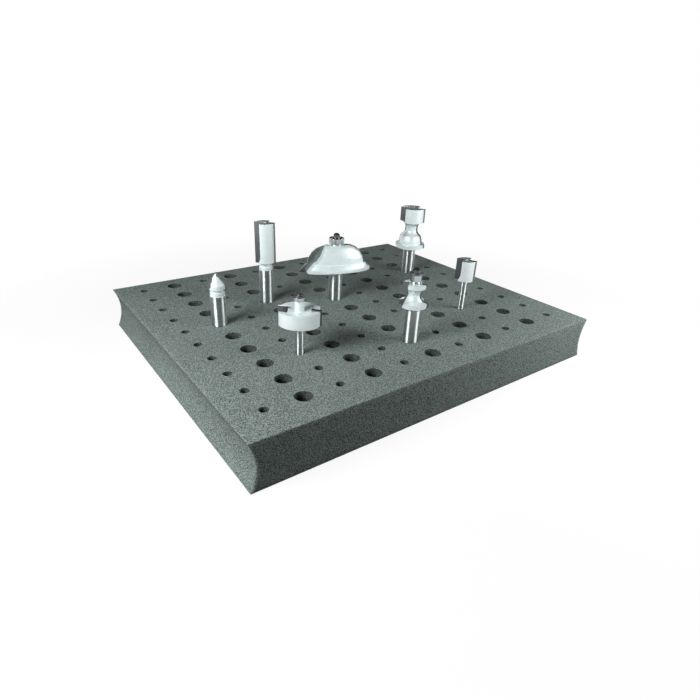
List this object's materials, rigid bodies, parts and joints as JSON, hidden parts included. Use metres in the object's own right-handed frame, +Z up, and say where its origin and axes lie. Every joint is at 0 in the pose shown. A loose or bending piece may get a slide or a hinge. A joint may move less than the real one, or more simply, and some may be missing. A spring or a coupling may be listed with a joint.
{
  "type": "router bit organizer",
  "caption": "Thick grey foam block with a grid of blind shank holes in two sizes, holding carbide router bits upright, three of them with pilot bearings.",
  "frame": {"origin": "centre of the foam block's underside", "axes": "+X along the block's long side, +Y towards the back row of holes, +Z up"},
  "size_m": [0.35, 0.292, 0.1131],
  "materials": {
    "foam": "closed-cell foam",
    "tool_steel": "silver paint on the head, ground shank",
    "carbide": "ground carbide",
    "race_steel": "polished bearing steel",
    "dark_steel": "black oxide"
  },
  "bodies": {
    "foam": {"foam_block": "foam"},
    "vee_bit": {"vee_bit_body": "tool_steel", "vee_bit_cutters": "carbide"},
    "straight_bit": {"straight_bit_body": "tool_steel", "straight_bit_cutters": "carbide"},
    "edge_bit": {"edge_bit_body": "tool_steel", "edge_bit_cutters": "carbide", "edge_bearing_inner": "race_steel", "edge_bit_washer": "dark_steel", "edge_bit_screw": "dark_steel"},
    "edge_race": {"edge_bearing_outer": "race_steel"},
    "edge_cage": {"edge_bearing_balls": "race_steel"},
    "rabbet_bit": {"rabbet_bit_body": "tool_steel", "rabbet_bit_cutters": "carbide", "rabbet_bearing_inner": "race_steel", "rabbet_bit_washer": "dark_steel", "rabbet_bit_screw": "dark_steel"},
    "rabbet_race": {"rabbet_bearing_outer": "race_steel"},
    "rabbet_cage": {"rabbet_bearing_balls": "race_steel"},
    "bead_bit": {"bead_bit_body": "tool_steel", "bead_bit_cutters": "carbide", "bead_bearing_inner": "race_steel", "bead_bit_washer": "dark_steel", "bead_bit_screw": "dark_steel"},
    "bead_race": {"bead_bearing_outer": "race_steel"},
    "bead_cage": {"bead_bearing_balls": "race_steel"},
    "short_bit": {"short_bit_body": "tool_steel", "short_bit_cutters": "carbide"},
    "crown_bit": {"crown_bit_body": "tool_steel", "crown_bit_cutters": "carbide"}
  },
  "joints": [
    {"name": "vee_bit_lift", "type": "slide", "parent": "foam", "child": "vee_bit", "axis": [0, 0, 1], "range_m": [0, 0.02]},
    {"name": "straight_bit_lift", "type": "slide", "parent": "foam", "child": "straight_bit", "axis": [0, 0, 1], "range_m": [0, 0.02]},
    {"name": "edge_bit_lift", "type": "slide", "parent": "foam", "child": "edge_bit", "axis": [0, 0, 1], "range_m": [0, 0.02]},
    {"name": "edge_race_spin", "type": "hinge", "parent": "edge_bit", "child": "edge_race", "pos_m": [0, 0.018, 0.0254], "axis": [0, 0, 1], "continuous": true},
    {"name": "edge_cage_spin", "type": "hinge", "parent": "edge_bit", "child": "edge_cage", "pos_m": [0, 0.018, 0.0254], "axis": [0, 0, 1], "continuous": true},
    {"name": "rabbet_bit_lift", "type": "slide", "parent": "foam", "child": "rabbet_bit", "axis": [0, 0, 1], "range_m": [0, 0.02]},
    {"name": "rabbet_race_spin", "type": "hinge", "parent": "rabbet_bit", "child": "rabbet_race", "pos_m": [-0.09, -0.0639, 0.0254], "axis": [0, 0, 1], "continuous": true},
    {"name": "rabbet_cage_spin", "type": "hinge", "parent": "rabbet_bit", "child": "rabbet_cage", "pos_m": [-0.09, -0.0639, 0.0254], "axis": [0, 0, 1], "continuous": true},
    {"name": "bead_bit_lift", "type": "slide", "parent": "foam", "child": "bead_bit", "axis": [0, 0, 1], "range_m": [0, 0.02]},
    {"name": "bead_race_spin", "type": "hinge", "parent": "bead_bit", "child": "bead_race", "pos_m": [0, -0.0912, 0.0254], "axis": [0, 0, 1], "continuous": true},
    {"name": "bead_cage_spin", "type": "hinge", "parent": "bead_bit", "child": "bead_cage", "pos_m": [0, -0.0912, 0.0254], "axis": [0, 0, 1], "continuous": true},
    {"name": "short_bit_lift", "type": "slide", "parent": "foam", "child": "short_bit", "axis": [0, 0, 1], "range_m": [0, 0.02]},
    {"name": "crown_bit_lift", "type": "slide", "parent": "foam", "child": "crown_bit", "axis": [0, 0, 1], "range_m": [0, 0.02]}
  ],
  "couplings": [
    {"joint": "edge_cage_spin", "follows": "edge_race_spin", "ratio": 0.61458},
    {"joint": "rabbet_cage_spin", "follows": "rabbet_race_spin", "ratio": 0.61875},
    {"joint": "bead_cage_spin", "follows": "bead_race_spin", "ratio": 0.61875}
  ]
}
